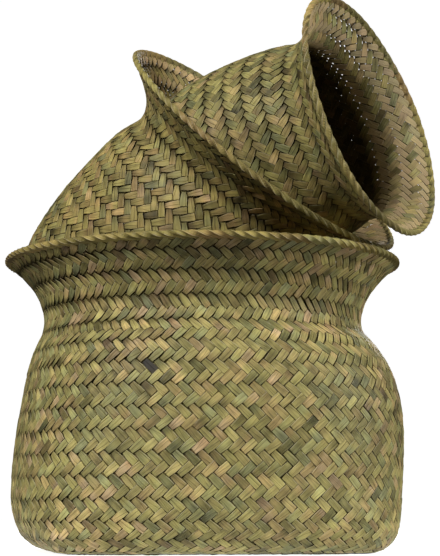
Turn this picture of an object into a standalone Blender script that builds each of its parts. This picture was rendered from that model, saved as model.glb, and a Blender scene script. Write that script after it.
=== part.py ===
# A set of three plaited belly baskets, stacked askew: the large one stands on the floor,
# the medium one leans in its mouth, and the small one leans in the mouth of the medium one.
#
# Each basket starts as a flat square mat, swells into a round belly, draws in to a neck and
# flares into a collar, whose edge is gripped by a folded border. The section of the wall is a
# rounded square at the mat and turns into a circle at the neck. The plaited fabric is modelled
# as one closed shell of its real thickness in three stages, mat, wall and collar.
#
# Units are metres, Z is up, and the origin is the middle of the large basket's underside.

import math
from collections import namedtuple

import bmesh
import bpy
from mathutils import Matrix, Vector
from mathutils.bvhtree import BVHTree
from mathutils.geometry import interpolate_bezier

# Sizes of the large basket, to its outer faces
LARGE_HEIGHT = 0.293
LARGE_RIM_RADIUS = 0.201
LARGE_NECK_RADIUS = 0.162
LARGE_NECK_HEIGHT = 0.228
LARGE_BELLY_HALF_WIDTH = 0.1915
LARGE_BELLY_HEIGHT = 0.062
LARGE_BASE_HALF_WIDTH = 0.143

# Sizes of the medium basket
MEDIUM_HEIGHT = 0.247
MEDIUM_RIM_RADIUS = 0.163
MEDIUM_NECK_RADIUS = 0.120
MEDIUM_NECK_HEIGHT = 0.197
MEDIUM_BELLY_HALF_WIDTH = 0.1325
MEDIUM_BELLY_HEIGHT = 0.077
MEDIUM_BASE_HALF_WIDTH = 0.097

# Sizes of the small basket
SMALL_HEIGHT = 0.210
SMALL_RIM_RADIUS = 0.127
SMALL_NECK_RADIUS = 0.095
SMALL_NECK_HEIGHT = 0.165
SMALL_BELLY_HALF_WIDTH = 0.103
SMALL_BELLY_HEIGHT = 0.075
SMALL_BASE_HALF_WIDTH = 0.077

# The plaited fabric is two strands thick, and the border is folded round its edge
PLAIT_THICKNESS = 0.003
BORDER_WIDTH = 0.010
BORDER_THICKNESS = 0.0072

# Clearances between pieces that touch
SEAM_GAP = 0.0005
BORDER_GAP = 0.0003
SEAT_GAP = 0.0003

# The shell runs straight for this length beside each seam
SEAM_STRAIGHT = 0.0025

# The angle of each collar above the horizontal at its edge
LARGE_FLARE_ANGLE = math.radians(40)
MEDIUM_FLARE_ANGLE = math.radians(36)
SMALL_FLARE_ANGLE = math.radians(38)

# How each basket lies: turned about its own axis, and the upper two tilted from the
# vertical towards one side, which is a bearing from +X. At a turn of zero an upper basket
# has a flat side of its mat facing the way that it leans.
LARGE_TURN = math.radians(10)
MEDIUM_TURN = math.radians(0)
SMALL_TURN = math.radians(20)
MEDIUM_TILT = math.radians(43)
SMALL_TILT = math.radians(75)
LEAN_BEARING = math.radians(-31)

# Exponents of the wall's section |x|^n + |y|^n = 1, where 2 is a circle
LARGE_BASE_SQUARENESS = 7.0
MEDIUM_BASE_SQUARENESS = 5.0
SMALL_BASE_SQUARENESS = 4.0
LARGE_BELLY_SQUARENESS = 2.7
MEDIUM_BELLY_SQUARENESS = 2.5
SMALL_BELLY_SQUARENESS = 2.3
ROUND = 2.0

# Handles of the wall's profile curve, as shares of the height or width that each stretch spans
FOOT_REACH_SHARE = 0.62
FOOT_RISE_SHARE = 0.62
SHOULDER_SHARE = 0.93
NECK_DROP_SHARE = 0.17
THROAT_RISE_SHARE = 0.45
FLARE_REACH_SHARE = 0.50

# How finely the shells are divided
LARGE_SIDES = 48
MEDIUM_SIDES = 40
SMALL_SIDES = 36
FOOT_RINGS = 5
SHOULDER_RINGS = 5
COLLAR_RINGS = 4
BORDER_CAP_STEPS = 4
MERGE_DISTANCE = 0.00001

# The search for an upper basket's seat: how far outside the mouth it starts, as a share of
# the upper basket's height, how far across the mouth it looks, as a share of that basket's
# rim radius, how finely, and the step by which a basket that touches backs off
START_SHARE = 2.0
CROSS_REACH_SHARE = 0.2
CROSS_STEPS = 16
CROSS_HALVINGS = 14
BACK_OFF = 0.0001

# The finish of the dry plait, and each piece's colour as a share of its basket's colour
PLAIT_ROUGHNESS = 0.75
MAT_COLOUR_SHARE = 0.85
WALL_COLOUR_SHARE = 1.0
COLLAR_COLOUR_SHARE = 0.95
BORDER_COLOUR_SHARE = 1.1

Basket = namedtuple(
    "Basket",
    "name height rim_radius neck_radius neck_height belly_half_width belly_height "
    "base_half_width belly_squareness base_squareness flare_angle sides colour",
)

LARGE = Basket(
    "large",
    LARGE_HEIGHT,
    LARGE_RIM_RADIUS,
    LARGE_NECK_RADIUS,
    LARGE_NECK_HEIGHT,
    LARGE_BELLY_HALF_WIDTH,
    LARGE_BELLY_HEIGHT,
    LARGE_BASE_HALF_WIDTH,
    LARGE_BELLY_SQUARENESS,
    LARGE_BASE_SQUARENESS,
    LARGE_FLARE_ANGLE,
    LARGE_SIDES,
    (0.42, 0.38, 0.17),
)
MEDIUM = Basket(
    "medium",
    MEDIUM_HEIGHT,
    MEDIUM_RIM_RADIUS,
    MEDIUM_NECK_RADIUS,
    MEDIUM_NECK_HEIGHT,
    MEDIUM_BELLY_HALF_WIDTH,
    MEDIUM_BELLY_HEIGHT,
    MEDIUM_BASE_HALF_WIDTH,
    MEDIUM_BELLY_SQUARENESS,
    MEDIUM_BASE_SQUARENESS,
    MEDIUM_FLARE_ANGLE,
    MEDIUM_SIDES,
    (0.40, 0.35, 0.17),
)
SMALL = Basket(
    "small",
    SMALL_HEIGHT,
    SMALL_RIM_RADIUS,
    SMALL_NECK_RADIUS,
    SMALL_NECK_HEIGHT,
    SMALL_BELLY_HALF_WIDTH,
    SMALL_BELLY_HEIGHT,
    SMALL_BASE_HALF_WIDTH,
    SMALL_BELLY_SQUARENESS,
    SMALL_BASE_SQUARENESS,
    SMALL_FLARE_ANGLE,
    SMALL_SIDES,
    (0.44, 0.40, 0.19),
)


def clear_scene():
    for thing in list(bpy.data.objects):
        bpy.data.objects.remove(thing, do_unlink=True)


def make_collection(name):
    collection = bpy.data.collections.new(name)
    bpy.context.scene.collection.children.link(collection)
    return collection


def make_material(name, colour, roughness):
    material = bpy.data.materials.new(name)
    material.use_nodes = True
    shader = material.node_tree.nodes["Principled BSDF"]
    shader.inputs["Base Color"].default_value = (*colour, 1.0)
    shader.inputs["Roughness"].default_value = roughness
    shader.inputs["Metallic"].default_value = 0.0
    return material


def shaded(colour, share):
    """A colour made darker or lighter by a share."""
    return tuple(channel * share for channel in colour)


def section(half_width, squareness, sides):
    """Points round a rounded square, closest together at its corners."""
    points = []
    for step in range(sides):
        angle = math.tau * step / sides
        c = math.cos(angle)
        s = math.sin(angle)
        x = math.copysign(abs(c) ** (2 / squareness), c)
        y = math.copysign(abs(s) ** (2 / squareness), s)
        points.append((half_width * x, half_width * y))
    return points


def border_frame(basket):
    """The middle of the border's round edge, and the directions along and across the collar."""
    along = Vector((math.cos(basket.flare_angle), 0, math.sin(basket.flare_angle)))
    across = Vector((-along.z, 0, along.x))
    half = BORDER_THICKNESS / 2
    tip = Vector((basket.rim_radius - half, 0, basket.height - half))
    return tip, along, across


def border_mouth(basket):
    """Where the collar enters the border, and where its edge ends inside the border."""
    tip, along, _ = border_frame(basket)
    mouth = tip - along * (BORDER_WIDTH - BORDER_THICKNESS / 2 + BORDER_GAP)
    edge = tip - along * BORDER_GAP
    return mouth, edge


def knot(half_width, squareness, height):
    """A point of the profile curve, which carries the section's squareness with it."""
    return Vector((half_width, squareness, height))


def wall_profile(basket):
    """Middle of the belly wall's thickness, from the mat's edge up to the neck."""
    half = PLAIT_THICKNESS / 2
    seam = knot(basket.base_half_width + SEAM_GAP / 2, basket.base_squareness, half)
    base = seam + knot(SEAM_STRAIGHT, 0, 0)
    belly = knot(basket.belly_half_width - half, basket.belly_squareness, basket.belly_height)
    top = knot(basket.neck_radius - half, ROUND, basket.neck_height - SEAM_GAP / 2)
    neck = top - knot(0, 0, SEAM_STRAIGHT)

    reach = (belly.x - base.x) * FOOT_REACH_SHARE
    rise = (belly.z - base.z) * FOOT_RISE_SHARE
    rounding = (basket.belly_squareness - basket.base_squareness) * FOOT_REACH_SHARE
    outward = knot(reach, rounding, 0)
    foot = interpolate_bezier(
        base, base + outward, belly - knot(0, 0, rise), belly, FOOT_RINGS + 1
    )

    climb = neck.z - belly.z
    shoulder = interpolate_bezier(
        belly,
        belly + knot(0, 0, climb * SHOULDER_SHARE),
        neck - knot(0, 0, climb * NECK_DROP_SHARE),
        neck,
        SHOULDER_RINGS + 1,
    )
    return [seam] + foot + shoulder[1:] + [top]


def collar_profile(basket):
    """Middle of the collar's thickness, from the neck up to its edge inside the border."""
    half = PLAIT_THICKNESS / 2
    seam = knot(basket.neck_radius - half, ROUND, basket.neck_height + SEAM_GAP / 2)
    neck = seam + knot(0, 0, SEAM_STRAIGHT)
    mouth, edge = border_mouth(basket)
    rim = knot(mouth.x, ROUND, mouth.z)
    climb = rim.z - neck.z
    spread = rim.x - neck.x
    back = spread * FLARE_REACH_SHARE
    flare = interpolate_bezier(
        neck,
        neck + knot(0, 0, climb * THROAT_RISE_SHARE),
        rim - knot(back, 0, back * math.tan(basket.flare_angle)),
        rim,
        COLLAR_RINGS + 1,
    )
    return [seam] + flare + [knot(edge.x, ROUND, edge.z)]


def loft_shell(name, profile, sides):
    """A lofted surface through the profile's sections, thickened to the plait."""
    mesh = bpy.data.meshes.new(name)
    shape = bmesh.new()
    rings = []
    for station in profile:
        outline = section(station.x, station.y, sides)
        rings.append([shape.verts.new((x, y, station.z)) for x, y in outline])
    for lower, upper in zip(rings, rings[1:]):
        for index in range(sides):
            following = (index + 1) % sides
            shape.faces.new(
                (lower[index], lower[following], upper[following], upper[index])
            )
    shape.to_mesh(mesh)
    shape.free()
    shell = bpy.data.objects.new(name, mesh)
    thicken = shell.modifiers.new("plait_thickness", "SOLIDIFY")
    thicken.thickness = PLAIT_THICKNESS
    thicken.offset = 0.0
    thicken.use_even_offset = True
    mesh.shade_smooth()
    return shell


def make_mat(name, basket):
    """The flat mat that the basket stands on."""
    mesh = bpy.data.meshes.new(name)
    shape = bmesh.new()
    outline = section(
        basket.base_half_width - SEAM_GAP / 2, basket.base_squareness, basket.sides
    )
    face = shape.faces.new([shape.verts.new((x, y, 0)) for x, y in outline])
    raised = bmesh.ops.extrude_face_region(shape, geom=[face])
    corners = [item for item in raised["geom"] if isinstance(item, bmesh.types.BMVert)]
    bmesh.ops.translate(shape, verts=corners, vec=(0, 0, PLAIT_THICKNESS))
    bmesh.ops.recalc_face_normals(shape, faces=shape.faces)
    shape.to_mesh(mesh)
    shape.free()
    return bpy.data.objects.new(name, mesh)


def make_border(name, basket):
    """The folded border: a channel over the collar's edge with a round outer side."""
    tip, along, across = border_frame(basket)
    half = BORDER_THICKNESS / 2
    slot = PLAIT_THICKNESS / 2 + BORDER_GAP
    open_end = tip - along * (BORDER_WIDTH - half)

    loop = []
    for step in range(BORDER_CAP_STEPS + 1):
        angle = math.pi / 2 - math.pi * step / BORDER_CAP_STEPS
        loop.append(tip + along * (half * math.cos(angle)) + across * (half * math.sin(angle)))
    loop.append(open_end - across * half)
    loop.append(open_end - across * slot)
    loop.append(tip - across * slot)
    loop.append(tip + across * slot)
    loop.append(open_end + across * slot)
    loop.append(open_end + across * half)

    mesh = bpy.data.meshes.new(name)
    shape = bmesh.new()
    corners = [shape.verts.new(point) for point in loop]
    for index, corner in enumerate(corners):
        shape.edges.new((corner, corners[(index + 1) % len(corners)]))
    shape.to_mesh(mesh)
    shape.free()
    border = bpy.data.objects.new(name, mesh)
    turn = border.modifiers.new("turned", "SCREW")
    turn.axis = "Z"
    turn.angle = math.tau
    turn.steps = basket.sides
    turn.render_steps = basket.sides
    turn.use_merge_vertices = True
    turn.merge_threshold = MERGE_DISTANCE
    turn.use_smooth_shade = True
    return border


def make_basket(basket, collection):
    """The four pieces of one basket, on an empty at the middle of its underside."""
    axis = bpy.data.objects.new(basket.name + "_basket_axis", None)
    axis.empty_display_size = basket.neck_radius
    collection.objects.link(axis)
    mat = make_mat(basket.name + "_base_mat", basket)
    wall = loft_shell(basket.name + "_belly_wall", wall_profile(basket), basket.sides)
    collar = loft_shell(basket.name + "_collar", collar_profile(basket), basket.sides)
    border = make_border(basket.name + "_rim_border", basket)
    colour_shares = {
        mat: MAT_COLOUR_SHARE,
        wall: WALL_COLOUR_SHARE,
        collar: COLLAR_COLOUR_SHARE,
        border: BORDER_COLOUR_SHARE,
    }
    for piece, share in colour_shares.items():
        material = make_material(piece.name, shaded(basket.colour, share), PLAIT_ROUGHNESS)
        piece.data.materials.append(material)
        piece.parent = axis
        collection.objects.link(piece)
    return axis, list(colour_shares)


def world_surface(pieces):
    """Points and triangles of some finished pieces, in world coordinates."""
    bpy.context.view_layer.update()
    graph = bpy.context.evaluated_depsgraph_get()
    points = []
    triangles = []
    for piece in pieces:
        finished = piece.evaluated_get(graph)
        mesh = finished.to_mesh()
        mesh.calc_loop_triangles()
        first = len(points)
        points.extend(piece.matrix_world @ vertex.co for vertex in mesh.vertices)
        for triangle in mesh.loop_triangles:
            triangles.append(tuple(first + corner for corner in triangle.vertices))
        finished.to_mesh_clear()
    return points, triangles


def leaning(tilt, bearing, turn):
    """A turn about the basket's own axis, then a tilt towards the bearing."""
    return (
        Matrix.Rotation(bearing, 4, "Z")
        @ Matrix.Rotation(tilt, 4, "Y")
        @ Matrix.Rotation(turn, 4, "Z")
    )


def seat_basket(axis, pieces, basket, pose, mouth, below):
    """Slide a leaning basket along its own axis into the mouth of the one below.

    Each trial starts outside, at some place across the mouth, and measures by rays how far
    the basket can slide before it touches. The seat is where it can slide deepest, which is
    where it touches on both sides, less a back-off to the seat's gap. The way out along its
    own axis is then free.
    """
    own_points, triangles = world_surface(pieces)
    own_points = [pose @ point for point in own_points]
    own_tree = BVHTree.FromPolygons(own_points, triangles)
    fixed_points, fixed_triangles = world_surface(below)
    fixed_tree = BVHTree.FromPolygons(fixed_points, fixed_triangles)

    inward = -(pose.to_3x3() @ Vector((0, 0, 1)))
    cross = Vector((math.cos(LEAN_BEARING), math.sin(LEAN_BEARING), 0))
    cross = (cross - inward * cross.dot(inward)).normalized()
    start = mouth - inward * (basket.height * START_SHARE)

    def travel(offset):
        shift = start + cross * offset
        least = math.inf
        for point in own_points:
            hit = fixed_tree.ray_cast(point + shift, inward)
            if hit[0] is not None:
                least = min(least, hit[3])
        for point in fixed_points:
            hit = own_tree.ray_cast(point - shift, -inward)
            if hit[0] is not None:
                least = min(least, hit[3])
        return least

    reach = basket.rim_radius * CROSS_REACH_SHARE
    offsets = [reach * (2 * step / CROSS_STEPS - 1) for step in range(CROSS_STEPS + 1)]
    best = max(offsets, key=travel)
    step = reach / CROSS_STEPS
    for _ in range(CROSS_HALVINGS):
        best = max((best - step, best, best + step), key=travel)
        step /= 2

    def clear(shift):
        moved = [point + shift for point in own_points]
        back = [point - shift for point in fixed_points]
        return not (
            any(fixed_tree.find_nearest(point, SEAT_GAP)[0] for point in moved)
            or any(own_tree.find_nearest(point, SEAT_GAP)[0] for point in back)
            or BVHTree.FromPolygons(moved, triangles).overlap(fixed_tree)
        )

    depth = travel(best)
    while not clear(start + cross * best + inward * depth):
        depth -= BACK_OFF
    place = start + cross * best + inward * depth
    axis.matrix_world = Matrix.Translation(place) @ pose
    return place, -inward


def main():
    clear_scene()
    collection = make_collection("belly_basket_set")
    large_axis, large = make_basket(LARGE, collection)
    medium_axis, medium = make_basket(MEDIUM, collection)
    small_axis, small = make_basket(SMALL, collection)

    large_axis.matrix_world = Matrix.Rotation(LARGE_TURN, 4, "Z")
    medium_pose = leaning(MEDIUM_TILT, LEAN_BEARING, MEDIUM_TURN)
    mouth = large_axis.matrix_world @ Vector((0, 0, LARGE.height))
    place, way = seat_basket(medium_axis, medium, MEDIUM, medium_pose, mouth, large)
    print("medium basket stands at", tuple(place), "and lifts along", tuple(way))
    small_pose = leaning(SMALL_TILT, LEAN_BEARING, SMALL_TURN)
    mouth = medium_axis.matrix_world @ Vector((0, 0, MEDIUM.height))
    place, way = seat_basket(small_axis, small, SMALL, small_pose, mouth, large + medium)
    print("small basket stands at", tuple(place), "and lifts along", tuple(way))


main()
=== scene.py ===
# %% [markdown]
# Three plaited belly baskets, one stacked askew in the next
#
# A belly basket is plaited from flat strands of dried seagrass. The strands run slantwise in
# two families, one leaning right and one leaning left, and each strand passes over two and
# under two of the other family. This pattern is called a twill, and it makes the zigzag rows
# that are seen all over these baskets.
#
# The pattern could be drawn on a smooth shell with a picture or a bump map, which is quick.
# But a drawn weave has a smooth silhouette, no gaps to see through and no strand ends. So here
# every strand is modelled as a real ribbon that climbs over and dives under its neighbours.

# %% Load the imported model
import math
from types import SimpleNamespace

import bpy
import numpy as np
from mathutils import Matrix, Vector


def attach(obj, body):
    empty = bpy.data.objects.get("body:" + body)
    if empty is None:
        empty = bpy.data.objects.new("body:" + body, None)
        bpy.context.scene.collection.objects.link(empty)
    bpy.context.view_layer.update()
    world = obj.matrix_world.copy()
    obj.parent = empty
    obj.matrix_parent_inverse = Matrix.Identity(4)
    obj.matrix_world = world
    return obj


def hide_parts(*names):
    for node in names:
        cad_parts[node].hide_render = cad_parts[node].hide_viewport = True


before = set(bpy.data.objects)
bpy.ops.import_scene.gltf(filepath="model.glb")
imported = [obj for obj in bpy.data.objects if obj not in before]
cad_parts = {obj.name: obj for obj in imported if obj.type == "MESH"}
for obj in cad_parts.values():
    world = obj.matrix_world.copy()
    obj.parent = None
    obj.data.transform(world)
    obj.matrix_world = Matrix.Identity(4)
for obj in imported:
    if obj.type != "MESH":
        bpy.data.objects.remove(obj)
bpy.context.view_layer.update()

# %% [markdown]
# Finding each basket in space
#
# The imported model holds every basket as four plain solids: a flat mat, a belly wall, a collar
# and a rim border. Each basket stands or leans at its own angle. All that follows is easier in
# a basket's own axes, with the mat on the ground and the mouth above it, so this step works
# them out from the solids: the axis runs from the middle of the mat to the middle of the rim,
# and the corners of the square mat show how far the basket is turned about that axis.

# %% A basket's own axes
def solid_points(node):
    """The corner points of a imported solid, each once."""
    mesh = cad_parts[node].data
    points = np.empty(len(mesh.vertices) * 3)
    mesh.vertices.foreach_get("co", points)
    return np.unique(points.reshape(-1, 3).round(6), axis=0)


def unit(vectors):
    return vectors / np.linalg.norm(vectors, axis=-1, keepdims=True)


def find_axes(name):
    """The middle of the mat's underside, and the basket's own x, y and z directions as rows."""
    mat = solid_points(name + "_base_mat")
    border = solid_points(name + "_rim_border")
    up = unit(border.mean(0) - mat.mean(0))
    middle = mat.mean(0)
    foot = middle + up * ((mat @ up).min() - middle @ up)
    side = unit(np.cross([0, 1, 0], up))
    other = np.cross(up, side)
    spread = (mat - middle) @ side + 1j * ((mat - middle) @ other)
    turn = np.angle((spread**4).sum()) / 4 - math.pi / 4
    across = side * math.cos(turn) + other * math.sin(turn)
    return foot, np.array([across, np.cross(up, across), up])


for name in ("large", "medium", "small"):
    foot, axes = find_axes(name)
    print(name, "stands at", foot.round(4), "and points along", axes[2].round(4))

# %% [markdown]
# The profile of a basket
#
# Seen from the side, a basket is one smooth line: out along the mat, round the foot, up over
# the belly, in to the neck, and out again to the rim. Seen from above, its outline is a square
# with round corners at the mat and a circle from the neck up. A superellipse, whose exponent
# slides from a high number to 2, gives every outline in between. So each point of the profile
# has three numbers: half width, exponent and height. Bezier curves join a few such points, and
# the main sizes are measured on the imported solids, so the plait always fits them.

# %% The profile curve
FOOT_REACH_SHARE = 0.62
FOOT_RISE_SHARE = 0.62
SHOULDER_SHARE = 0.93
NECK_DROP_SHARE = 0.17
THROAT_RISE_SHARE = 0.45
FLARE_REACH_SHARE = 0.50
FABRIC_THICKNESS = 0.003
BORDER_RADIUS = 0.0036
ROUND = 2.0
CURVE_POINTS = 60


def bezier(start, lead, trail, end):
    t = np.linspace(0, 1, CURVE_POINTS)[:, None]
    return (
        (1 - t) ** 3 * start
        + 3 * t * (1 - t) ** 2 * lead
        + 3 * t**2 * (1 - t) * trail
        + t**3 * end
    )


def measure(basket):
    """Main sizes of a basket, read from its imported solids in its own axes."""
    local = {}
    for piece in ("base_mat", "belly_wall", "collar", "rim_border"):
        points = solid_points(basket.name + "_" + piece)
        local[piece] = (points - basket.foot) @ basket.axes.T
    wall = local["belly_wall"]
    widest = wall[np.abs(wall[:, 0]).argmax()]
    collar = local["collar"]
    throat = collar[collar[:, 2] < collar[:, 2].min() + FABRIC_THICKNESS / 10]
    basket.base_half = np.abs(local["base_mat"][:, 0]).max()
    basket.belly_half = abs(widest[0]) - FABRIC_THICKNESS / 2
    basket.belly_height = widest[2]
    basket.neck_radius = np.hypot(throat[:, 0], throat[:, 1]).max() - FABRIC_THICKNESS / 2
    basket.neck_height = throat[:, 2].mean()
    border = local["rim_border"]
    basket.tip_radius = np.hypot(border[:, 0], border[:, 1]).max() - BORDER_RADIUS
    basket.tip_height = border[:, 2].max() - BORDER_RADIUS


def profile(basket):
    """Half width, exponent and height along the middle of the fabric, from mat to rim."""
    half = FABRIC_THICKNESS / 2
    middle = np.array([0, basket.base_square, half])
    base = np.array([basket.base_half, basket.base_square, half])
    belly = np.array([basket.belly_half, basket.belly_square, basket.belly_height])
    neck = np.array([basket.neck_radius, ROUND, basket.neck_height])
    rim = np.array([basket.tip_radius, ROUND, basket.tip_height])

    out = (belly[0] - base[0]) * FOOT_REACH_SHARE
    rounding = (belly[1] - base[1]) * FOOT_REACH_SHARE
    rise = (belly[2] - base[2]) * FOOT_RISE_SHARE
    foot = bezier(base, base + [out, rounding, 0], belly - [0, 0, rise], belly)

    climb = neck[2] - belly[2]
    shoulder = bezier(
        belly,
        belly + [0, 0, climb * SHOULDER_SHARE],
        neck - [0, 0, climb * NECK_DROP_SHARE],
        neck,
    )

    back = (rim[0] - neck[0]) * FLARE_REACH_SHARE
    flare = bezier(
        neck,
        neck + [0, 0, (rim[2] - neck[2]) * THROAT_RISE_SHARE],
        rim - [back, 0, back * math.tan(basket.flare)],
        rim,
    )
    return np.concatenate([[middle], foot, shoulder[1:], flare[1:]])


# %% [markdown]
# A map of the fabric
#
# The weave is laid out on a flat map and then carried onto the basket. The map's two numbers
# are how far round the basket a point is, as a share of the whole way round, and how far it is
# from the middle of the mat along the profile. A table of places and outward directions, with
# straight mixing between its entries, turns any point of the map into a point in space. It is
# made once for each basket, and then millions of points can be looked up in one go.

# %% The table of places
AROUND = 720
STEP = 0.001
OUTLINES = np.linspace(2, 8, 49)
OUTLINE_POINTS = 2880


def outline(exponent):
    """A rounded square of half width 1, at even shares of the way round, and its length."""
    angle = np.linspace(0, math.tau, OUTLINE_POINTS + 1)
    c, s = np.cos(angle), np.sin(angle)
    radius = (np.abs(c) ** exponent + np.abs(s) ** exponent) ** (-1 / exponent)
    x, y = radius * c, radius * s
    walked = np.concatenate([[0], np.cumsum(np.hypot(np.diff(x), np.diff(y)))])
    even = np.linspace(0, walked[-1], AROUND + 1)
    return np.stack([np.interp(even, walked, x), np.interp(even, walked, y)], 1), walked[-1]


outline_shapes, outline_lengths = zip(*[outline(exponent) for exponent in OUTLINES])
outline_shapes = np.array(outline_shapes)


def lay_surface(basket):
    """Tables of places, outward directions and girths, by distance from the mat's middle."""
    knots = profile(basket)
    walked = np.hypot(np.diff(knots[:, 0]), np.diff(knots[:, 2]))
    walked = np.concatenate([[0], np.cumsum(walked)])
    basket.edge = basket.base_half
    basket.belly = walked[CURVE_POINTS]
    basket.neck = walked[2 * CURVE_POINTS - 1]
    basket.tip = walked[-1]
    rows = np.arange(0, basket.tip + 2 * STEP, STEP)
    half, exponent, height = (np.interp(rows, walked, knots[:, i]) for i in range(3))
    place = np.interp(exponent, OUTLINES, np.arange(len(OUTLINES)))
    lower = np.clip(place.astype(int), 0, len(OUTLINES) - 2)
    part = (place - lower)[:, None, None]
    shape = outline_shapes[lower] * (1 - part) + outline_shapes[lower + 1] * part
    places = np.empty((len(rows), AROUND + 1, 3))
    places[:, :, :2] = shape * half[:, None, None]
    places[:, :, 2] = height[:, None]
    basket.girths = half * np.interp(exponent, OUTLINES, outline_lengths)
    basket.rows = rows

    places = settle(basket, places)
    up = np.gradient(places, axis=0)
    turned = np.concatenate([places[:, -2:-1], places, places[:, 1:2]], axis=1)
    around = turned[:, 2:] - turned[:, :-2]
    outward = np.cross(around, up)
    outward[rows < basket.edge * 0.98] = (0, 0, -1)
    basket.places = places
    basket.outward = unit(outward)


CORNER_TUCK = 0.006
CORNER_WIDTH = 0.005
CORNER_HEIGHT = 0.011


def settle(basket, places):
    """Unevenness of a handmade basket: a soft wander, a lean of the shoulder, tucked corners."""
    share = np.linspace(0, 1, AROUND + 1)[None, :]
    height = places[:, :, 2]
    swell = np.clip(height / basket.belly_height, 0, 1)
    wander = np.zeros_like(height)
    for waves, size in ((2, 0.0007), (3, 0.0006), (5, 0.0004), (7, 0.0003)):
        phase = basket.seed * waves + 9 * height / basket.tip_height
        wander += size * np.sin(math.tau * waves * share + phase)
    from_corner = np.abs(np.mod(share, 0.25) - 0.125) * basket.girths[:, None]
    from_foot = basket.rows[:, None] - basket.edge - CORNER_HEIGHT
    tuck = np.exp(-((from_corner / CORNER_WIDTH) ** 2) - (from_foot / CORNER_HEIGHT) ** 2)
    flat = unit(places[:, :, :2] + 1e-9)
    places[:, :, :2] += flat * (wander * swell - CORNER_TUCK * tuck)[:, :, None]
    climbed = np.clip(height / basket.neck_height, 0, 1)
    lean = climbed**4 * (1 - climbed) ** 2 / ((2 / 3) ** 4 * (1 / 3) ** 2)
    places += lean[:, :, None] * (basket.axes @ basket.shoulder_lean)
    return places


def look_up(basket, share, distance):
    """Places and outward directions in the basket's own axes, for points of the map."""
    across = np.mod(share, 1) * AROUND
    along = np.clip(distance / STEP, 0, len(basket.rows) - 1.001)
    i, j = along.astype(int), np.clip(across.astype(int), 0, AROUND - 1)
    a, b = (along - i)[:, None], (across - j)[:, None]
    found = []
    for table in (basket.places, basket.outward):
        near = table[i, j] * (1 - b) + table[i, j + 1] * b
        far = table[i + 1, j] * (1 - b) + table[i + 1, j + 1] * b
        found.append(near * (1 - a) + far * a)
    return found[0], unit(found[1])


# %% [markdown]
# Rows of crossings
#
# Where a right-leaning strand crosses a left-leaning one there is a crossing, and crossings
# lie in level rows. A strand keeps its width, so where the basket swells the strands lie
# flatter, and where it draws in they stand steeper: the sine of their angle is their number
# times their spacing over the girth. Adding up how fast the strands climb gives the number of
# the row at each distance. Row 0 is the edge of the mat, and rows below it are on the mat. The
# numbers are stretched a little, so that a full band of right-leaning strands ends up under the
# border, whose folds lean left and finish the zigzag.

# %% Numbering the rows
TOP_BAND = 2.4


def count_rows(basket):
    """Row numbers by distance, for strands whose spacing varies from mat to rim."""
    girth_at = lambda distance: np.interp(distance, basket.rows, basket.girths)
    first = girth_at(basket.edge) * math.sin(math.pi / 4) / basket.strands
    marks = [basket.edge, basket.belly, basket.neck, basket.tip]
    spacing = np.interp(basket.rows, marks, [first, *basket.spacings])
    basket.spacing = np.where(basket.rows < basket.edge, first, spacing)
    sine = np.clip(basket.spacing * basket.strands / basket.girths.clip(1e-6), 0, 0.97)
    climb = 2 * basket.strands * np.sqrt(1 - sine**2) / sine / basket.girths.clip(1e-6)
    climb = np.where(basket.rows < basket.edge, 0, climb)
    number = np.cumsum(climb) * STEP
    number -= np.interp(basket.edge, basket.rows, number)
    last = np.interp(basket.tip, basket.rows, number)
    number *= (4 * round((last - TOP_BAND) / 4) + TOP_BAND) / last
    on_mat = basket.strands / 4 * (basket.rows / basket.edge - 1)
    basket.row_number = np.where(basket.rows < basket.edge, on_mat, number)
    basket.neck_row = round(float(np.interp(basket.neck, basket.rows, basket.row_number)))
    basket.last_row = float(np.interp(basket.tip, basket.rows, basket.row_number))


def distance_of(basket, row):
    return np.interp(row, basket.row_number, basket.rows)


# %% The three baskets
baskets = {
    "large": SimpleNamespace(
        name="large", strands=112, seed=1.0, base_square=7.0, belly_square=2.7,
        flare=math.radians(40), spacings=[0.0076, 0.0072, 0.0076],
        slits=[0.50, 0.80, 0.75], slits_towards=(-1, -0.1, 0), slits_elsewhere=0.22,
        slits_inside=0.0, closed_by=0.4, left_gap=[0, 0.12, 0.05], fill=1.03, uneven=1.0,
        fold_tilt=0.07, shoulder_lean=(0.006, 0, 0),
    ),
    "medium": SimpleNamespace(
        name="medium", strands=80, seed=2.3, base_square=5.0, belly_square=2.5,
        flare=math.radians(36), spacings=[0.0075, 0.0072, 0.0075],
        slits=[0.40, 0.56, 0.70], slits_towards=(-1, 0, 0.3), slits_elsewhere=0.75,
        slits_inside=1.2, closed_by=0.0, left_gap=[0, 0.08, 0.04], fill=1.03, uneven=0.9,
        fold_tilt=0.02, shoulder_lean=(0, 0, 0),
    ),
    "small": SimpleNamespace(
        name="small", strands=64, seed=3.1, base_square=4.0, belly_square=2.3,
        flare=math.radians(38), spacings=[0.0073, 0.0070, 0.0073],
        slits=[0.74, 0.55, 0.80], slits_towards=(0.05, 0.2, 1), slits_elsewhere=0.6,
        slits_inside=0.85, closed_by=0.5, left_gap=[0, 0.10, 0.12], fill=1.07, uneven=0.6,
        fold_tilt=0.02, shoulder_lean=(0, 0, 0),
    ),
}
for basket in baskets.values():
    basket.foot, basket.axes = find_axes(basket.name)
    measure(basket)
    lay_surface(basket)
    count_rows(basket)
    print(
        basket.name, "has rows to the neck:", basket.neck_row,
        "and to the rim:", round(basket.last_row, 1),
    )

# %% [markdown]
# One strand of seagrass
#
# A strand is a flat ribbon about 7 mm wide and 1 mm thick, slightly crowned, with sharp lips.
# It could be a curve with a flat bevel, but a curve can't tilt and vary its width freely
# enough. So each ribbon is a closed mesh: eight points go round its section, and a section
# stands on either side of every crossing, just before and just after it. Dried leaf is
# never even, so a ribbon wanders sideways, widens and narrows, tilts and lifts by small
# random amounts that change slowly along it.

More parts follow.
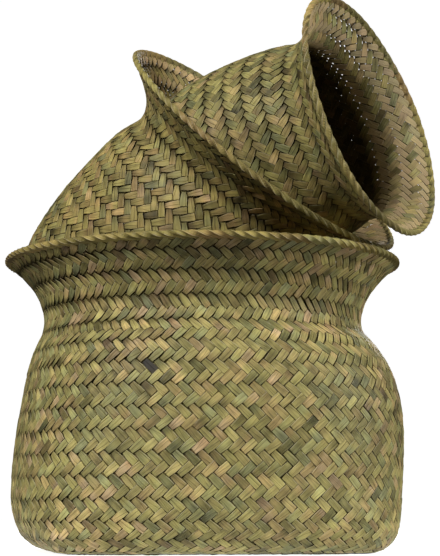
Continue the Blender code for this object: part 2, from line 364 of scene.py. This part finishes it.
# %% Ribbon sections
STRAND_WIDTH = 0.0078
FACE_LIFT = 0.00034
CROWN_LIFT = 0.00044
CROSSING_LIFT = 0.00090
BESIDE_CROSSING = 0.42
DIVE_SHARE = 0.95
# Below the neck the inside faces darken over this distance, as painted shade.
DARK_BELOW_NECK = 0.014

across_section = np.array([-1, -0.92, 0, 0.92, 1, 0.92, 0, -0.92])
up_section = np.array([0, 1, 0, 1, 0, -1, 0, -1]) * FACE_LIFT
up_section[[2, 6]] = CROWN_LIFT, -CROWN_LIFT
# face is 1 on the outer face and -1 on the inner; at the lips it is 0.6, so the material paints some shade
# on the lips.
face_section = np.array([0.6, 1, 1, 1, 0.6, -1, -1, -1])


def ribbon(centre, outward, half_width, tilt):
    """Points of a ribbon's sections, eight to each point of its centre line."""
    ahead = unit(np.gradient(centre, axis=0))
    side = unit(np.cross(outward, ahead))
    out = np.cross(ahead, side)
    c, s = np.cos(tilt)[:, None], np.sin(tilt)[:, None]
    side, out = side * c + out * s, out * c - side * s
    return (
        centre[:, None]
        + side[:, None] * (half_width[:, None] * across_section)[:, :, None]
        + out[:, None] * up_section[None, :, None]
    )


# %% Slow random changes along each strand
WANDER_KNOTS = 240


def make_wanders(basket):
    """Smooth random numbers for each strand, by crossings counted from its middle."""
    random = np.random.default_rng(int(basket.seed * 100))
    kernel = np.array([0.25, 0.5, 0.25])
    basket.wanders = {}
    for what, size in (("drift", 0.00022), ("width", 0.055), ("tilt", 0.08), ("lift", 0.00009)):
        values = random.normal(size=(basket.strands, WANDER_KNOTS))
        for _ in range({"drift": 3, "width": 1, "tilt": 1, "lift": 1}[what]):
            values = np.apply_along_axis(np.convolve, 1, values, kernel, "same")
        values /= values.std()
        if what == "width":
            values = 0.3 - np.abs(values + 0.5 * random.normal(size=(basket.strands, 1)))
        basket.wanders[what] = np.clip(values, -2.6, 2.2) * size * basket.uneven


def wander(basket, what, strand, along):
    knots = np.arange(WANDER_KNOTS) - WANDER_KNOTS / 2
    return np.interp(along, knots, basket.wanders[what][strand])


# %% [markdown]
# Over two, under two
#
# Whether a strand is on top at a crossing depends only on the row: a right-leaning strand is
# on top in rows 0 and 1, underneath in rows 2 and 3, and so on in fours. The left-leaning
# strands do the opposite. Beside a crossing where it is about to change sides, the ribbon
# has already started to dive.

# %% Heights along a strand
def on_top(row, leaning):
    """1 where a strand that leans right (leaning 1) or left (-1) is outside, else -1."""
    return np.where(np.mod(row, 4) < 2, 1, -1) * leaning


def stations(first, last):
    """Rows just before and after each crossing from first to last, and both ends."""
    inner = [
        row + beside
        for row in range(math.floor(first), math.ceil(last) + 1)
        for beside in (-BESIDE_CROSSING, BESIDE_CROSSING)
        if first + 0.01 < row + beside < last - 0.01
    ]
    return np.array([first, *inner, last])


def heights(marks, sides):
    """Offset from the middle of the fabric at each mark, from the side at each crossing."""
    crossing = np.round(marks)
    here = sides(crossing)
    beyond = sides(crossing + np.sign(np.round(marks - crossing, 3)))
    return CROSSING_LIFT * here * np.where(here == beyond, 1, DIVE_SHARE)


def lay_strand(basket, strand, along, share, distance, offset, narrow, leaning):
    """The ribbon of one strand over these points of the map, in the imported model's axes."""
    girth = np.interp(distance, basket.rows, basket.girths).clip(0.02)
    share = share + wander(basket, "drift", strand, along) / girth
    centre, outward = look_up(basket, share, distance)
    lift = offset + wander(basket, "lift", strand, along)
    centre = centre + outward * lift[:, None]
    room = np.interp(distance, basket.rows, basket.spacing)
    width = np.minimum(STRAND_WIDTH, basket.fill * room) * (1 - narrow)
    half_width = width / 2 * (1 + wander(basket, "width", strand, along))
    half_width = np.minimum(half_width, np.where(offset > 0, 0.54, 0.60) * room)
    points = ribbon(centre, outward, half_width, wander(basket, "tilt", strand, along))
    # side is 1 outside and -1 under, and nearer 0 where the strand is narrowed, so the material paints
    # shade there; deep rises below the neck, where it paints shade inside.
    return SimpleNamespace(
        points=basket.foot + points @ basket.axes, along=along, strand=strand,
        side=offset / CROSSING_LIFT * (1 - np.clip(narrow, 0, 1)),
        deep=np.clip((basket.neck - distance) / DARK_BELOW_NECK, 0, 1), leaning=leaning,
        stain=0,
    )


def from_side_middle(basket, number):
    """How far a strand's foot is from the middle of its side of the mat, in strands."""
    quarter = basket.strands / 4
    return number - quarter * np.round(number / quarter)


def wall_strand(basket, number, leaning, first, last):
    """A right- or left-leaning strand between two rows of the wall or collar."""
    row = stations(first, last)
    share = (number + 0.5 + leaning * row / 2) / basket.strands
    middle = from_side_middle(basket, number + 0.5)
    half_length = basket.strands / 8 + leaning * middle
    along = leaning * (half_length + row)
    strand = number
    if leaning < 0:
        sides_turned = 1 if from_side(basket, number) else 3
        strand = int(basket.strands * (sides_turned / 4)) - 1 - number
    strand %= basket.strands
    offset = heights(row, lambda crossing: on_top(crossing, leaning))
    narrow = drawn_in(basket, row, share, leaning, offset > 0)
    return lay_strand(
        basket, strand, along, share, distance_of(basket, row), offset, narrow, leaning
    )


def drawn_in(basket, row, share, leaning, outside):
    """How much narrower a strand is here: pointed at the collar's slits, slim if it leans left."""
    from_slits = np.abs(np.mod(row - 1.5, 4) - 2) / 2
    pointed = np.clip(1 - 1.9 * from_slits, 0, 1)
    widest = np.angle(complex(*(basket.axes @ basket.slits_towards)[:2]))
    facing = 0.5 + 0.5 * np.cos(math.tau * share - widest)
    marks = [basket.neck_row - 7, basket.neck_row, basket.last_row]
    outer = basket.slits_elsewhere + (1 - basket.slits_elsewhere) * facing**2
    through = np.interp(row, marks[:2], [0, basket.slits_inside]) * facing**9
    inner = outer * ((1 + basket.closed_by) * through - basket.closed_by)
    slit = np.interp(row, marks, basket.slits) * pointed * np.where(outside, outer, inner)
    slim = np.interp(row, marks, basket.left_gap) * (leaning < 0)
    return slit + slim


def from_side(basket, number):
    """1 for a left-leaning strand that starts from the x sides of the mat, else 0."""
    quarter = basket.strands / 4
    return 1 - int(np.round((number + 0.5) / quarter)) % 2


for basket in baskets.values():
    make_wanders(basket)
print("A ribbon section has", len(across_section), "points")

# %% [markdown]
# The mat
#
# The plaiting starts flat, with the strands crossing the mat from side to side at 45 degrees.
# On each of the four sides they form rows that lie level with that side, so the mat shows
# square rings that meet in mitres on its diagonals. A strand comes in from one side as one
# that leans right, crosses a diagonal, and leaves by the next side as one that leans left.

# %% Strands of the mat
def mat_strand(basket, number):
    """The flat middle of the strand that leaves the mat as right-leaning strand number."""
    count = basket.strands
    middle = from_side_middle(basket, number + 0.5)
    turn = round((number + 0.5 - middle) / (count / 4))
    last = int(count / 4 + 2 * middle)
    mark = stations(0, last)
    depth = mark * 4 / count
    x, y = 1 - depth, 8 * middle / count - depth
    radius = np.maximum(np.abs(x), np.abs(y)).clip(1e-6)
    near_x = np.abs(x) >= np.abs(y)
    share = np.where(near_x, y / radius / 8, -0.25 + x / radius / 8) + turn / 4
    row = -np.minimum(mark, last - mark)

    def sides(crossing):
        ring = -np.minimum(crossing, last - crossing)
        return on_top(ring, np.where(crossing < last / 2, 1, -1))

    along = count / 8 + middle - mark
    offset = heights(mark, sides)
    return lay_strand(basket, number, along, share, distance_of(basket, row), offset, 0, 1)


# %% [markdown]
# The folded border
#
# At the rim the ends of the strands are folded over the edge, laid slantwise along it and
# tucked back into the plait, so the edge looks like a flat rope of overlapping folds. Each
# fold is a ribbon that starts low on the outside, climbs over the round edge while it drifts
# sideways, and ends low on the inside. It is tilted a little, so that one edge of each fold
# lies on the fold before it.

# %% Folds over the rim
FOLD_WIDTH = 0.0104
FOLD_THICKNESS = 0.6
FOLD_ROWS = 1.2
FOLD_STATIONS = 19
FOLD_DRIFT = 2.0
FOLDS_ALIKE = 3
ROLL_RADIUS = BORDER_RADIUS - 2 * FACE_LIFT
ROLL = math.pi * ROLL_RADIUS / 2


def leg_length(basket):
    return basket.tip - distance_of(basket, basket.last_row - FOLD_ROWS)


def over_edge(basket, share, walked):
    """Places and outward directions on the rolled edge, walked from outside to inside."""
    edge_point, outward = look_up(basket, share, np.full(len(share), basket.tip))
    below, _ = look_up(basket, share, np.full(len(share), basket.tip - 3 * STEP))
    upward = unit(edge_point - below)
    angle = np.clip(walked / ROLL_RADIUS, -math.pi / 2, math.pi / 2)[:, None]
    leg = np.clip(np.abs(walked) - ROLL, 0, None)[:, None]
    slant = np.clip(1 - leg / leg_length(basket), 0, 1) ** 1.3
    ahead = np.cos(angle) * ROLL_RADIUS - leg
    aside = -np.sin(angle) * ROLL_RADIUS * slant
    face = upward * np.cos(angle) - outward * np.sin(angle)
    return edge_point + upward * ahead + outward * aside, face


def border_fold(basket, number, random):
    """One fold of the border, from the outside of the collar over its edge to the inside."""
    reach = ROLL + leg_length(basket)
    walked = np.linspace(-reach, reach, FOLD_STATIONS)
    half_width = FOLD_WIDTH / 2 * (1 + 0.05 * random.normal())
    across = half_width * across_section / math.hypot(1, FOLD_DRIFT)
    around = random.normal() * 0.0005 - walked[:, None] * FOLD_DRIFT - across
    turned = walked[:, None] - across * FOLD_DRIFT
    share = (number + 0.5) / basket.strands + around / basket.girths[-1]
    place, face = over_edge(basket, share.ravel(), turned.ravel())
    tilt = basket.fold_tilt + 0.01 * random.normal()
    lift = up_section * FOLD_THICKNESS + tilt * half_width * across_section
    points = (place + face * np.tile(lift, FOLD_STATIONS)[:, None]).reshape(-1, 8, 3)
    # A fold's side falls towards the tucked ends of its legs, so the material paints shade there.
    leg = np.clip(np.abs(walked) - ROLL, 0, None) / leg_length(basket)
    return SimpleNamespace(
        points=basket.foot + points @ basket.axes, along=walked / STRAND_WIDTH,
        strand=number // FOLDS_ALIKE, side=1 - 0.8 * leg**3, deep=0, leaning=1, stain=0,
    )


# %% [markdown]
# From ribbons to meshes
#
# All ribbons of one stage of a basket are joined into one mesh. Next to the points, the mesh
# stores numbers that the material reads: the number of the strand, how far along it a point
# is and how far across, which face a point is on, whether the strand is outside or under, how
# far below the neck it is, which way it leans, and whether it is stained. The side and depth
# numbers carry painted shade: a strand is darkened where it lies under another or is narrowed,
# and inside below the neck. It also has a map for baking, on which each ribbon is a straight
# strip of its own.

# %% Joining ribbons
def join_ribbons(name, ribbons, node, basket):
    """One mesh object of many ribbons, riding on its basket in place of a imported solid."""
    points, faces, corners = [], [], []
    stored = {"strand": [], "along": [], "side": [], "deep": [], "leaning": [], "stain": []}
    first = 0
    ring = np.arange(8)
    after = (ring + 1) % 8
    for place, strip in enumerate(ribbons):
        count = len(strip.points)
        start = first + 8 * np.arange(count - 1)[:, None]
        sides = np.stack([start + ring, start + after, start + 8 + after, start + 8 + ring], -1)
        cap = np.array([[0, 7, 6, 1], [1, 6, 5, 2], [2, 5, 4, 3]])
        last = first + 8 * (count - 1)
        faces += [sides.reshape(-1, 4), first + cap, last + cap[:, ::-1]]
        points.append(strip.points.reshape(-1, 3))
        for what, values in stored.items():
            values.append(np.repeat(getattr(strip, what) + np.zeros(count), 8))
        level = np.arange(count - 1)[:, None] / (count - 1) + 0 * ring
        higher = level + 1 / (count - 1)
        left = (place + 0.04 + 0.92 * ring / 8) / len(ribbons) + 0 * level
        right = left + 0.92 / 8 / len(ribbons)
        strip_map = np.stack([left, level, right, level, right, higher, left, higher], -1)
        corners.append(strip_map.reshape(-1, 2))
        cap_across = (place + 0.04 + 0.92 * cap / 8) / len(ribbons)
        for end, rows in ((0.0, cap_across), (1.0, cap_across[:, ::-1])):
            corners.append(np.stack([rows, np.full(rows.shape, end)], -1).reshape(-1, 2))
        first += 8 * count
    mesh = bpy.data.meshes.new(name)
    mesh.from_pydata(np.concatenate(points), [], np.concatenate(faces))
    for what, values in stored.items():
        store(mesh, what, np.concatenate(values))
    store(mesh, "across", np.tile(across_section, len(mesh.vertices) // 8))
    store(mesh, "face", np.tile(face_section, len(mesh.vertices) // 8))
    strip_layer = mesh.uv_layers.new(name="OFBake")
    strip_layer.uv.foreach_set("vector", np.concatenate(corners).astype(np.float32).ravel())
    mesh.shade_smooth()
    mesh.set_sharp_from_angle(angle=math.radians(38))
    thing = bpy.data.objects.new(name, mesh)
    bpy.context.scene.collection.objects.link(thing)
    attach(thing, basket.name)
    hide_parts(node)
    print(name, "has", len(ribbons), "ribbons and", 2 * len(mesh.polygons), "triangles")
    return thing


def store(mesh, name, values):
    layer = mesh.attributes.new(name, "FLOAT", "POINT")
    layer.data.foreach_set("value", values.astype(np.float32))


# %% The dark mark
STAIN_PLACE = (-0.045, -0.185, 0.167)


def stain(ribbons, place):
    """Mark the one stretch on the outside that is nearest to a place in space."""
    def distances(strip):
        away = np.linalg.norm(strip.points.mean(1) - place, axis=1)
        return np.where(strip.side > 0, away, 1)

    stained = min(ribbons, key=lambda strip: distances(strip).min())
    stretch = np.cumsum(np.abs(np.diff(stained.side > 0, prepend=0)))
    stained.stain = 1.0 * (stretch == stretch[distances(stained).argmin()])


# %% Plaiting the baskets
def plait(basket):
    """All the pieces of one basket."""
    numbers = range(basket.strands)
    neck = basket.neck_row
    tops = {1: basket.last_row - 0.5, -1: basket.last_row - 0.9}
    name = basket.name
    made = {
        "mat": join_ribbons(
            name + "_mat_strands",
            [mat_strand(basket, number) for number in numbers],
            name + "_base_mat", basket,
        )
    }
    for leaning, side in ((1, "right"), (-1, "left")):
        ribbons = [wall_strand(basket, number, leaning, 0, neck) for number in numbers]
        if (name, side) == ("large", "left"):
            stain(ribbons, STAIN_PLACE)
        made["wall_" + side] = join_ribbons(
            f"{name}_wall_strands_leaning_{side}", ribbons, name + "_belly_wall", basket
        )
    made["collar"] = join_ribbons(
        name + "_collar_strands",
        [wall_strand(basket, n, lean, neck, tops[lean]) for lean in (1, -1) for n in numbers],
        name + "_collar", basket,
    )
    random = np.random.default_rng(int(basket.seed * 1000))
    made["border"] = join_ribbons(
        name + "_border_folds",
        [border_fold(basket, number, random) for number in numbers],
        name + "_rim_border", basket,
    )
    return made


pieces = {name: plait(basket) for name, basket in baskets.items()}

# %% [markdown]
# The colour of dry seagrass
#
# Dried seagrass is olive, straw, grey-green and tan, and now and then rusty or nearly black.
# The colour changes from strand to strand and slowly along each one. Fine fibres run
# along the leaf as light and dark streaks, and the folded edges are paler, partly where
# handling has rubbed them and partly as a painted highlight, stronger on the upper lips.
# Shade is painted too: along a thin wandering crease, where a strand lies under another or
# is narrowed at a slit, on the lips, and on the inside faces below the neck. All of it is
# worked out by nodes from the numbers stored on the mesh, so the streaks follow every bend
# of every ribbon.

# %% Node helpers
def add_node(tree, kind, **settings):
    node = tree.nodes.new(kind)
    for key, value in settings.items():
        setattr(node, key, value)
    return node


def maths(tree, operation, first, second=None, third=None):
    """A Math node, whose inputs may be sockets or numbers."""
    node = add_node(tree, "ShaderNodeMath", operation=operation)
    for socket, value in zip(node.inputs, (first, second, third)):
        if value is None:
            continue
        if isinstance(value, (int, float)):
            socket.default_value = value
        else:
            tree.links.new(value, socket)
    return node.outputs[0]


def clamped(tree, value):
    """The value, held between 0 and 1."""
    return maths(tree, "MINIMUM", maths(tree, "MAXIMUM", value, 0.0), 1.0)


def combined(tree, x, y, z):
    node = add_node(tree, "ShaderNodeCombineXYZ")
    for socket, value in zip(node.inputs, (x, y, z)):
        if isinstance(value, (int, float)):
            socket.default_value = value
        else:
            tree.links.new(value, socket)
    return node.outputs[0]


def mixed(tree, factor, first, second, blend="MIX"):
    """A colour Mix node, whose inputs may be sockets, numbers or colours."""
    node = add_node(tree, "ShaderNodeMix", data_type="RGBA", blend_type=blend)
    for socket, value in zip((node.inputs[0], node.inputs[6], node.inputs[7]), (factor, first, second)):
        if isinstance(value, tuple):
            socket.default_value = (*value, 1)
        elif isinstance(value, (int, float)):
            socket.default_value = value
        else:
            tree.links.new(value, socket)
    return node.outputs[2]


def noise(tree, vector, scale, detail=2.0, roughness=0.5):
    node = add_node(tree, "ShaderNodeTexNoise")
    tree.links.new(vector, node.inputs["Vector"])
    node.inputs["Scale"].default_value = scale
    node.inputs["Detail"].default_value = detail
    node.inputs["Roughness"].default_value = roughness
    return node.outputs["Fac"]


# %% The seagrass material
LEAF_HUES = (
    (0.00, (0.235, 0.240, 0.120)),
    (0.20, (0.275, 0.270, 0.110)),
    (0.40, (0.320, 0.280, 0.092)),
    (0.56, (0.350, 0.290, 0.105)),
    (0.72, (0.400, 0.290, 0.115)),
    (0.86, (0.420, 0.305, 0.165)),
    (1.00, (0.400, 0.262, 0.125)),
)
# Paler edge lines: wear, plus a painted highlight on the upper lips.
WORN_EDGE_AND_HIGHLIGHT = (0.60, 0.54, 0.38)
# Painted shade along a crease.
CREASE_PAINTED_SHADE = (0.30, 0.26, 0.18)
# Painted shade where strands lie under others, at slits and on lips.
HIDDEN_PAINTED_SHADE = (0.16, 0.14, 0.10)
STAIN = (0.020, 0.021, 0.021)
INNER_OLIVE = (1.30, 1.26, 1.30)
PALE_TAN = (0.92, 0.68, 0.42)
# Painted shade on the inside faces below the neck.
DEEP_INSIDE_PAINTED_SHADE = (0.28, 0.24, 0.21)


def seagrass(name, seed, warmth, hue_spread):
    """The material of one basket's strands: leaf colour, fibres and rubbed edges, with
    painted shade in creases, between strands and inside, and a painted highlight on the lips.
    """
    material = bpy.data.materials.new(name)
    material.use_nodes = True
    tree = material.node_tree
    shader = tree.nodes["Principled BSDF"]
    strand = add_node(tree, "ShaderNodeAttribute", attribute_name="strand").outputs["Fac"]
    along = add_node(tree, "ShaderNodeAttribute", attribute_name="along").outputs["Fac"]
    across = add_node(tree, "ShaderNodeAttribute", attribute_name="across").outputs["Fac"]
    side = add_node(tree, "ShaderNodeAttribute", attribute_name="side").outputs["Fac"]
    face = add_node(tree, "ShaderNodeAttribute", attribute_name="face").outputs["Fac"]
    deep = add_node(tree, "ShaderNodeAttribute", attribute_name="deep").outputs["Fac"]
    leaning = add_node(tree, "ShaderNodeAttribute", attribute_name="leaning").outputs["Fac"]
    number = maths(tree, "MULTIPLY_ADD", strand, 7.31, seed)
    crossings = maths(tree, "MULTIPLY", along, 0.3)

    own = add_node(tree, "ShaderNodeTexWhiteNoise", noise_dimensions="1D")
    tree.links.new(number, own.inputs["W"])
    hue_drift = noise(tree, combined(tree, crossings, number, 0.0), 1.0, 1.0)
    hue = maths(tree, "MULTIPLY_ADD", own.outputs["Value"], hue_spread, 0.275 - hue_spread / 2)
    hue = maths(tree, "ADD", hue, maths(tree, "MULTIPLY_ADD", hue_drift, 1.3, -0.45))
    ramp = add_node(tree, "ShaderNodeValToRGB")
    ramp.color_ramp.elements.remove(ramp.color_ramp.elements[1])
    for place, colour in LEAF_HUES:
        stop = ramp.color_ramp.elements.new(place) if place else ramp.color_ramp.elements[0]
        stop.position = place
        stop.color = (*colour, 1)
    tree.links.new(hue, ramp.inputs[0])

    own_depth = add_node(tree, "ShaderNodeTexWhiteNoise", noise_dimensions="1D")
    tree.links.new(maths(tree, "ADD", number, 0.5), own_depth.inputs["W"])
    depth_drift = noise(tree, combined(tree, crossings, number, 8.0), 1.3, 2.0)
    depth = maths(tree, "MULTIPLY_ADD", own_depth.outputs["Value"], 0.6, -0.3)
    depth = maths(tree, "ADD", depth, maths(tree, "MULTIPLY_ADD", depth_drift, 2.2, -0.12))
    colour = mixed(tree, 1.0, ramp.outputs["Color"], depth, "MULTIPLY")

    fibre_place = combined(
        tree, maths(tree, "MULTIPLY", along, 0.3), maths(tree, "MULTIPLY", across, 2.6), number
    )
    fibres = noise(tree, fibre_place, 1.0, 6.0, 0.68)
    streak = maths(tree, "MULTIPLY_ADD", fibres, 1.9, 0.05)
    colour = mixed(tree, 1.0, colour, streak, "MULTIPLY")

    # Painted shade along a thin crease that wanders across each strand; the same crease is pressed in by
    # the bump below.
    wander = noise(tree, combined(tree, maths(tree, "MULTIPLY", along, 0.22), number, 5.0), 1.0, 0.0)
    off_crease = maths(tree, "ADD", across, maths(tree, "MULTIPLY_ADD", wander, 3.4, -1.7))
    crease = maths(tree, "SUBTRACT", 1.0, maths(tree, "MULTIPLY", maths(tree, "ABSOLUTE", off_crease), 9.0))
    crease = maths(tree, "MULTIPLY", maths(tree, "MAXIMUM", crease, 0.0), 0.75)
    colour = mixed(tree, crease, colour, mixed(tree, 1.0, colour, CREASE_PAINTED_SHADE, "MULTIPLY"))

    # Paler lines near the lips: wear rubbed in random patches, with a painted highlight that is stronger on
    # each strand's upper lip.
    from_middle = maths(tree, "ABSOLUTE", across)
    beside_edge = maths(tree, "ABSOLUTE", maths(tree, "SUBTRACT", from_middle, 0.88))
    edge_line = clamped(tree, maths(tree, "MULTIPLY_ADD", beside_edge, -12.0, 1.0))
    wear_and_highlight = noise(tree, combined(tree, maths(tree, "MULTIPLY", along, 0.5), number, 3.0), 1.3, 2.0)
    wear_and_highlight = maths(tree, "MULTIPLY", maths(tree, "GREATER_THAN", wear_and_highlight, 0.45), 0.6)
    upper = maths(tree, "GREATER_THAN", maths(tree, "MULTIPLY", across, leaning), 0.0)
    wear_and_highlight = maths(tree, "MULTIPLY", wear_and_highlight, maths(tree, "MULTIPLY_ADD", upper, 0.65, 0.35))
    colour = mixed(tree, maths(tree, "MULTIPLY", edge_line, wear_and_highlight), colour, WORN_EDGE_AND_HIGHLIGHT)

    pale = maths(tree, "MULTIPLY_ADD", leaning, -0.4, 0.1)
    pale = clamped(tree, maths(tree, "MULTIPLY_ADD", own.outputs["Value"], 0.8, pale))
    inner_colour = mixed(tree, 1.0, colour, INNER_OLIVE, "MULTIPLY")
    inner_colour = mixed(tree, maths(tree, "MULTIPLY", pale, 0.55), inner_colour, PALE_TAN)
    # Below the neck the inside faces are darkened, as painted shade.
    inner_colour = mixed(tree, deep, inner_colour, mixed(tree, 1.0, colour, DEEP_INSIDE_PAINTED_SHADE, "MULTIPLY"))
    inner = maths(tree, "LESS_THAN", face, 0.0)
    colour = mixed(tree, inner, colour, inner_colour)
    # Painted shade: the colour darkens where a strand lies under another or is narrowed at a slit, and on
    # its lips, less on the upper lips and a little less deep inside.
    exposed = maths(tree, "MULTIPLY", side, face)
    painted_shade = clamped(tree, maths(tree, "MULTIPLY_ADD", exposed, -1.5, 1.4))
    shut = noise(tree, combined(tree, along, maths(tree, "MULTIPLY", across, 1.5), number), 0.8, 0.0)
    shut = clamped(tree, maths(tree, "MULTIPLY_ADD", shut, -4.0, 2.5))
    shut = maths(tree, "MAXIMUM", shut, maths(tree, "MULTIPLY", upper, 0.55))
    lip = clamped(tree, maths(tree, "MULTIPLY_ADD", from_middle, 25.0, -23.0))
    open_lip = maths(tree, "MULTIPLY_ADD", maths(tree, "MULTIPLY", lip, shut), -0.7, 0.9)
    painted_shade = maths(tree, "MULTIPLY", painted_shade, open_lip)
    painted_shade = maths(tree, "MULTIPLY", painted_shade, maths(tree, "MULTIPLY_ADD", deep, -0.15, 1.0))
    colour = mixed(tree, painted_shade, colour, mixed(tree, 1.0, colour, HIDDEN_PAINTED_SHADE, "MULTIPLY"))
    colour = mixed(tree, 1.0, colour, warmth, "MULTIPLY")
    stain = add_node(tree, "ShaderNodeAttribute", attribute_name="stain").outputs["Fac"]
    colour = mixed(tree, maths(tree, "MULTIPLY", stain, 0.92), colour, STAIN)
    tree.links.new(colour, shader.inputs["Base Color"])

    rough = maths(tree, "MULTIPLY_ADD", fibres, 0.3, 0.40)
    tree.links.new(rough, shader.inputs["Roughness"])
    height = maths(tree, "SUBTRACT", fibres, crease)
    bump = add_node(tree, "ShaderNodeBump")
    bump.inputs["Strength"].default_value = 0.5
    bump.inputs["Distance"].default_value = 0.0007
    tree.links.new(height, bump.inputs["Height"])
    tree.links.new(bump.outputs["Normal"], shader.inputs["Normal"])
    shader.inputs["Specular IOR Level"].default_value = 0.22
    return material


WARMTHS = {
    "large": (1.0, 1.0, 1.0), "medium": (0.88, 0.83, 0.76), "small": (0.80, 0.80, 0.76),
}
HANDLED = {
    "large": (0.87, 0.81, 0.71), "medium": (0.98, 0.93, 0.85), "small": (0.98, 0.93, 0.85),
}
for seed, (name, made) in enumerate(pieces.items()):
    plaited = seagrass(name + "_seagrass", 3.0 + 8 * seed, WARMTHS[name], 0.45)
    folded = seagrass(name + "_border_seagrass", 5.0 + 8 * seed, HANDLED[name], 0.25)
    for part, thing in made.items():
        thing.data.materials.append(folded if part == "border" else plaited)

# %% [markdown]
# Floor and light
#
# The baskets stand on a plain white floor in soft studio light. A broad soft lamp overhead
# lights the shoulders and leaves the undersides of the collars and the insides dark, one in
# front gives the bellies their light, and weak ones behind keep the other sides readable.
# Round everything stands a plain white wall. Only the camera sees it, so that it does not
# fill the shadows that give the plait its depth.

# %% Floor, wall and lamps
def studio_white(name, glow):
    white = bpy.data.materials.new(name)
    white.use_nodes = True
    shader = white.node_tree.nodes["Principled BSDF"]
    shader.inputs["Base Color"].default_value = (0.5, 0.5, 0.5, 1)
    shader.inputs["Roughness"].default_value = 0.9
    shader.inputs["Emission Color"].default_value = (1, 1, 1, 1)
    shader.inputs["Emission Strength"].default_value = glow
    return white


def area_lamp(name, place, target, size, power):
    lamp = bpy.data.lights.new(name, "AREA")
    lamp.shape = "DISK"
    lamp.size = size
    lamp.energy = power
    thing = bpy.data.objects.new(name, lamp)
    thing.location = place
    thing.visible_camera = False
    thing.rotation_mode = "QUATERNION"
    thing.rotation_quaternion = (Vector(target) - Vector(place)).to_track_quat("-Z", "Y")
    bpy.context.scene.collection.objects.link(thing)


def glow_outwards(material, near, far):
    """Let the floor glow less near the baskets, so that it takes their shadow."""
    tree = material.node_tree
    place = add_node(tree, "ShaderNodeTexCoord").outputs["Object"]
    length = add_node(tree, "ShaderNodeVectorMath", operation="LENGTH")
    tree.links.new(place, length.inputs[0])
    away = clamped(tree, maths(tree, "MULTIPLY_ADD", length.outputs["Value"], 0.8, -0.4))
    glow = maths(tree, "MULTIPLY_ADD", away, far - near, near)
    tree.links.new(glow, tree.nodes["Principled BSDF"].inputs["Emission Strength"])


STUDIO_RADIUS = 14
bpy.ops.mesh.primitive_circle_add(
    vertices=64, radius=STUDIO_RADIUS, fill_type="NGON", location=(0, 0, -0.0003)
)
floor = bpy.context.object
floor.name = "studio_floor"
floor.data.materials.append(studio_white("studio_floor", 1.0))
glow_outwards(floor.data.materials[0], 0.90, 1.0)
floor.visible_diffuse = floor.visible_glossy = False
bpy.ops.mesh.primitive_uv_sphere_add(segments=48, ring_count=24, radius=STUDIO_RADIUS)
wall = bpy.context.object
wall.name = "studio_wall"
wall.data.materials.append(studio_white("studio_wall", 1.0))
wall.visible_diffuse = wall.visible_glossy = wall.visible_shadow = False

world = bpy.data.worlds.new("studio_world")
world.use_nodes = True
world.node_tree.nodes["Background"].inputs["Color"].default_value = (1, 1, 1, 1)
world.node_tree.nodes["Background"].inputs["Strength"].default_value = 0.05
bpy.context.scene.world = world
area_lamp("left_front_lamp", (-1.45, -2.05, 1.95), (0, 0, 0.2), 0.8, 83)
area_lamp("right_lamp", (2.2, -0.55, 1.0), (0, 0, 0.2), 0.7, 35)
area_lamp("overhead_lamp", (-0.2, 0.3, 2.6), (0, 0, 0.2), 2.2, 5)
area_lamp("back_lamp", (0.6, 2.6, 1.2), (0, 0, 0.2), 1.2, 30)
area_lamp("floor_bounce", (0, -0.05, 0.001), (0, -0.05, 1), 0.6, 0.75)
bpy.context.scene.view_settings.view_transform = "Standard"

# %% [markdown]
# The camera
#
# The photograph was taken from low down, at the height of the large basket's foot, with a
# long lens pointing slightly up. The place was found by matching the outline of the baskets.

# %% Camera
CAMERA_PLACE = (0.018, -1.65, 0.036)
CAMERA_PITCH = math.radians(8.3)
LENS = 105.2

lens = bpy.data.cameras.new("photo_camera")
lens.lens = LENS
lens.sensor_width = 36
camera = bpy.data.objects.new("photo_camera", lens)
camera.location = CAMERA_PLACE
camera.rotation_euler = (math.pi / 2 + CAMERA_PITCH, 0, 0)
bpy.context.scene.collection.objects.link(camera)
bpy.context.scene.camera = camera
